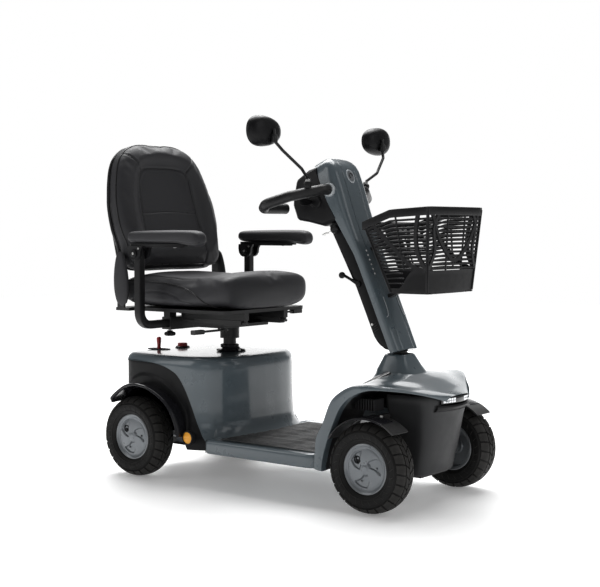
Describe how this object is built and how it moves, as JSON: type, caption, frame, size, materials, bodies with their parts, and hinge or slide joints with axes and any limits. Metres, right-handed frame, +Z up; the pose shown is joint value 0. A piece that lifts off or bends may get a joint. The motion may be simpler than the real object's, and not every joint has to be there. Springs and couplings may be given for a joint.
{
  "type": "mobility scooter",
  "caption": "Four-wheel electric mobility scooter with swivel seat, folding backrest, flip-up armrests, tilting tiller, mirrors and front basket.",
  "frame": {"origin": "on the floor, at the middle of the scooter's length and width", "axes": "+X forward, +Y to the rider's left, +Z up"},
  "size_m": [1.2734, 0.722, 1.1445],
  "materials": {
    "black_plastic": "satin moulded",
    "gloss_black": "gloss",
    "black_steel": "powder coat",
    "steel": "satin",
    "rubber": "matt",
    "tyre": "matt",
    "silver_plastic": "silver paint",
    "vinyl": "soft grain",
    "amber": "moulded reflector",
    "lens": "clear lens over dark housing",
    "red": "gloss",
    "aluminium": "cast",
    "battery_case": "moulded"
  },
  "bodies": {
    "chassis": {"main_frame": "black_steel", "batteries": "battery_case", "transaxle": "aluminium", "drive_motor": "black_steel", "controller": "aluminium", "foot_deck": "black_plastic", "deck_mat": "rubber", "rear_shroud": "silver_plastic", "shroud_trim": "black_plastic", "rear_side_panels": "black_plastic", "rear_mudguards": "gloss_black", "reflectors": "amber", "front_hood": "silver_plastic", "front_bumper": "black_plastic", "headlight": "lens"},
    "column": {"steering_column": "steel"},
    "tiller": {"tiller_post": "black_steel", "tiller_front_cover": "silver_plastic", "tiller_back_cover": "black_plastic", "console": "black_plastic", "handlebar": "black_steel"},
    "throttle": {"throttle_lever": "black_plastic"},
    "key": {"ignition_key": "steel"},
    "tilt_release": {"tilt_lever": "black_plastic"},
    "dial": {"speed_dial": "black_plastic"},
    "basket": {"basket": "black_plastic"},
    "seat_post": {"seat_post": "steel"},
    "swivel": {"swivel_base": "black_steel"},
    "seat": {"seat_pan": "black_steel", "seat_cushion": "vinyl"},
    "backrest": {"backrest_shell": "black_plastic", "backrest_cushion": "vinyl"},
    "slide_release": {"slide_lever": "black_steel"},
    "swivel_release": {"swivel_lever": "black_steel"},
    "freewheel": {"freewheel_lever": "red"},
    "reset": {"reset_button": "red"},
    "wheel_rear_left": {"tyre_rear_left": "tyre", "rim_rear_left": "silver_plastic"},
    "wheel_rear_right": {"tyre_rear_right": "tyre", "rim_rear_right": "silver_plastic"},
    "wheel_front_left": {"tyre_front_left": "tyre", "rim_front_left": "silver_plastic"},
    "wheel_front_right": {"tyre_front_right": "tyre", "rim_front_right": "silver_plastic"},
    "knuckle_left": {"knuckle_left": "black_steel"},
    "tie_rod_left": {"tie_rod_left": "steel"},
    "mirror_stem_left": {"mirror_stem_left": "black_steel"},
    "mirror_head_left": {"mirror_head_left": "gloss_black"},
    "button_left": {"push_button_left": "black_plastic"},
    "arm_post_left": {"arm_post_left": "black_steel"},
    "armrest_left": {"armrest_left": "vinyl"},
    "star_knob_left": {"star_knob_left": "black_plastic"},
    "knuckle_right": {"knuckle_right": "black_steel"},
    "tie_rod_right": {"tie_rod_right": "steel"},
    "mirror_stem_right": {"mirror_stem_right": "black_steel"},
    "mirror_head_right": {"mirror_head_right": "gloss_black"},
    "button_right": {"push_button_right": "black_plastic"},
    "arm_post_right": {"arm_post_right": "black_steel"},
    "armrest_right": {"armrest_right": "vinyl"},
    "star_knob_right": {"star_knob_right": "black_plastic"}
  },
  "joints": [
    {"name": "rear_wheel_left_spin", "type": "hinge", "parent": "chassis", "child": "wheel_rear_left", "pos_m": [-0.4313, 0.235, 0.13], "axis": [0, 1, 0], "continuous": true},
    {"name": "front_wheel_left_spin", "type": "hinge", "parent": "knuckle_left", "child": "wheel_front_left", "pos_m": [0.4887, 0.235, 0.13], "axis": [0, 1, 0], "continuous": true},
    {"name": "rear_wheel_right_spin", "type": "hinge", "parent": "chassis", "child": "wheel_rear_right", "pos_m": [-0.4313, -0.235, 0.13], "axis": [0, 1, 0], "continuous": true},
    {"name": "front_wheel_right_spin", "type": "hinge", "parent": "knuckle_right", "child": "wheel_front_right", "pos_m": [0.4887, -0.235, 0.13], "axis": [0, 1, 0], "continuous": true},
    {"name": "steer", "type": "hinge", "parent": "chassis", "child": "column", "pos_m": [0.4287, 0, 0.3], "axis": [0, 0, 1], "range_deg": [-25, 25]},
    {"name": "kingpin_left", "type": "hinge", "parent": "chassis", "child": "knuckle_left", "pos_m": [0.4887, 0.158, 0.13], "axis": [0, 0, 1], "range_deg": [-25, 25]},
    {"name": "tie_rod_left_swing", "type": "hinge", "parent": "column", "child": "tie_rod_left", "pos_m": [0.3687, 0, 0.18], "axis": [0, 0, 1], "range_deg": [-25, 25]},
    {"name": "kingpin_right", "type": "hinge", "parent": "chassis", "child": "knuckle_right", "pos_m": [0.4887, -0.158, 0.13], "axis": [0, 0, 1], "range_deg": [-25, 25]},
    {"name": "tie_rod_right_swing", "type": "hinge", "parent": "column", "child": "tie_rod_right", "pos_m": [0.3687, 0, 0.18], "axis": [0, 0, 1], "range_deg": [-25, 25]},
    {"name": "tiller_tilt", "type": "hinge", "parent": "column", "child": "tiller", "pos_m": [0.4287, 0, 0.456], "axis": [0, 1, 0], "range_deg": [-12, 15]},
    {"name": "throttle", "type": "hinge", "parent": "tiller", "child": "throttle", "pos_m": [0.15887, 0, 0.88907], "axis": [-0.4019, 0, 0.9157], "range_deg": [-10, 10], "stiffness_Nm_per_rad": 0.6},
    {"name": "key_turn", "type": "hinge", "parent": "tiller", "child": "key", "pos_m": [0.2266, -0.064, 0.80194], "axis": [0.9157, 0, 0.4019], "range_deg": [0, 90]},
    {"name": "tilt_release", "type": "hinge", "parent": "tiller", "child": "tilt_release", "pos_m": [0.31888, -0.06, 0.6415], "axis": [0, 1, 0], "range_deg": [-20, 0], "stiffness_Nm_per_rad": 1},
    {"name": "speed_dial_turn", "type": "hinge", "parent": "tiller", "child": "dial", "pos_m": [0.07912, 0, 0.9065], "axis": [-0.9809, 0, 0.1948], "range_deg": [-135, 135]},
    {"name": "push_button_left_press", "type": "slide", "parent": "tiller", "child": "button_left", "axis": [-0.9809, 0, 0.1948], "range_m": [-0.002, 0], "stiffness_N_per_m": 300},
    {"name": "push_button_right_press", "type": "slide", "parent": "tiller", "child": "button_right", "axis": [-0.9809, 0, 0.1948], "range_m": [-0.002, 0], "stiffness_N_per_m": 300},
    {"name": "mirror_stem_left_turn", "type": "hinge", "parent": "tiller", "child": "mirror_stem_left", "pos_m": [0.1997, 0.152, 0.94], "axis": [0, 0, 1], "range_deg": [-25, 25]},
    {"name": "mirror_head_left_turn", "type": "hinge", "parent": "mirror_stem_left", "child": "mirror_head_left", "pos_m": [0.1757, 0.283, 1.092], "axis": [0, 0, 1], "range_deg": [-15, 15]},
    {"name": "mirror_stem_right_turn", "type": "hinge", "parent": "tiller", "child": "mirror_stem_right", "pos_m": [0.1997, -0.152, 0.94], "axis": [0, 0, 1], "range_deg": [-25, 25]},
    {"name": "mirror_head_right_turn", "type": "hinge", "parent": "mirror_stem_right", "child": "mirror_head_right", "pos_m": [0.1757, -0.283, 1.092], "axis": [0, 0, 1], "range_deg": [-15, 15]},
    {"name": "basket_lift", "type": "slide", "parent": "tiller", "child": "basket", "axis": [-0.4019, 0, 0.9157], "range_m": [0, 0.1]},
    {"name": "seat_height", "type": "slide", "parent": "chassis", "child": "seat_post", "axis": [0, 0, 1], "range_m": [0, 0.075]},
    {"name": "seat_swivel", "type": "hinge", "parent": "seat_post", "child": "swivel", "pos_m": [-0.2413, 0, 0.484], "axis": [0, 0, -1], "range_deg": [-90, 90]},
    {"name": "seat_slide", "type": "slide", "parent": "swivel", "child": "seat", "axis": [1, 0, 0], "range_m": [-0.06, 0.06]},
    {"name": "backrest_fold", "type": "hinge", "parent": "seat", "child": "backrest", "pos_m": [-0.5093, 0, 0.712], "axis": [0, 1, 0], "range_deg": [-25, 95]},
    {"name": "arm_width_left", "type": "slide", "parent": "seat", "child": "arm_post_left", "axis": [0, -1, 0], "range_m": [-0.04, 0]},
    {"name": "armrest_left_flip", "type": "hinge", "parent": "arm_post_left", "child": "armrest_left", "pos_m": [-0.3863, 0.274, 0.728], "axis": [0, 1, 0], "range_deg": [-95, 0]},
    {"name": "star_knob_left_turn", "type": "hinge", "parent": "seat", "child": "star_knob_left", "pos_m": [-0.3863, 0.134, 0.4637], "axis": [0, 0, 1], "continuous": true},
    {"name": "arm_width_right", "type": "slide", "parent": "seat", "child": "arm_post_right", "axis": [0, 1, 0], "range_m": [-0.04, 0]},
    {"name": "armrest_right_flip", "type": "hinge", "parent": "arm_post_right", "child": "armrest_right", "pos_m": [-0.3863, -0.274, 0.728], "axis": [0, 1, 0], "range_deg": [-95, 0]},
    {"name": "star_knob_right_turn", "type": "hinge", "parent": "seat", "child": "star_knob_right", "pos_m": [-0.3863, -0.134, 0.4637], "axis": [0, 0, 1], "continuous": true},
    {"name": "seat_slide_release", "type": "hinge", "parent": "seat", "child": "slide_release", "pos_m": [-0.1313, 0.14, 0.527], "axis": [0, 0, 1], "range_deg": [0, 15], "stiffness_Nm_per_rad": 2},
    {"name": "seat_swivel_release", "type": "hinge", "parent": "swivel", "child": "swivel_release", "pos_m": [-0.1953, -0.078, 0.479], "axis": [0, 0, 1], "range_deg": [0, 15], "stiffness_Nm_per_rad": 2},
    {"name": "freewheel_select", "type": "hinge", "parent": "chassis", "child": "freewheel", "pos_m": [-0.4723, -0.097, 0.382], "axis": [0, 1, 0], "range_deg": [0, 40]},
    {"name": "reset_press", "type": "slide", "parent": "chassis", "child": "reset", "axis": [0, 0, 1], "range_m": [-0.003, 0], "stiffness_N_per_m": 800}
  ],
  "couplings": [
    {"joint": "kingpin_left", "follows": "steer", "ratio": 1},
    {"joint": "tie_rod_left_swing", "follows": "steer", "ratio": -1},
    {"joint": "kingpin_right", "follows": "steer", "ratio": 1},
    {"joint": "tie_rod_right_swing", "follows": "steer", "ratio": -1}
  ]
}
